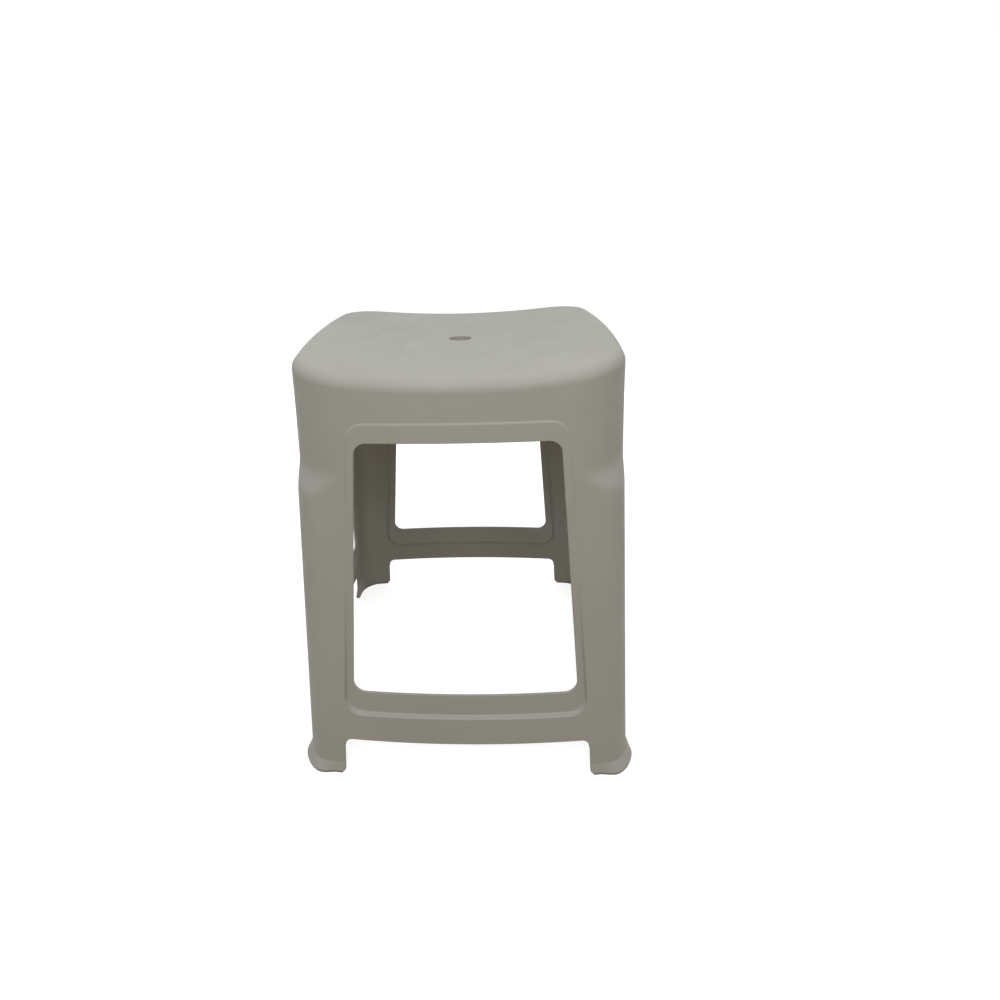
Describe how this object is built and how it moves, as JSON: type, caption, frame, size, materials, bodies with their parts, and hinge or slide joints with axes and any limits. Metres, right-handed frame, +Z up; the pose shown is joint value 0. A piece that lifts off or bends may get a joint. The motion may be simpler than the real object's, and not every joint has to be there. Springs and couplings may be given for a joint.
{
  "type": "stacking stool",
  "caption": "Low square stacking stool, a one-piece plastic moulding with a saddle seat, a finger hole, open windows between splayed legs, low rails and flanged feet on soft pads",
  "frame": {"origin": "the middle of the footprint, on the floor under the foot pads", "axes": "+Z up, +X to the right seen from the front, with the seat's raised ends at -X and +X; the front faces -Y"},
  "size_m": [0.3634, 0.3634, 0.4502],
  "materials": {
    "shell_plastic": "satin moulded polypropylene with a fine spark-eroded grain",
    "pad_rubber": "matt thermoplastic rubber, a little darker than the shell"
  },
  "bodies": {
    "root": {"stool_shell": "shell_plastic", "foot_pad_front_left": "pad_rubber", "foot_pad_front_right": "pad_rubber", "foot_pad_back_left": "pad_rubber", "foot_pad_back_right": "pad_rubber"}
  },
  "joints": []
}
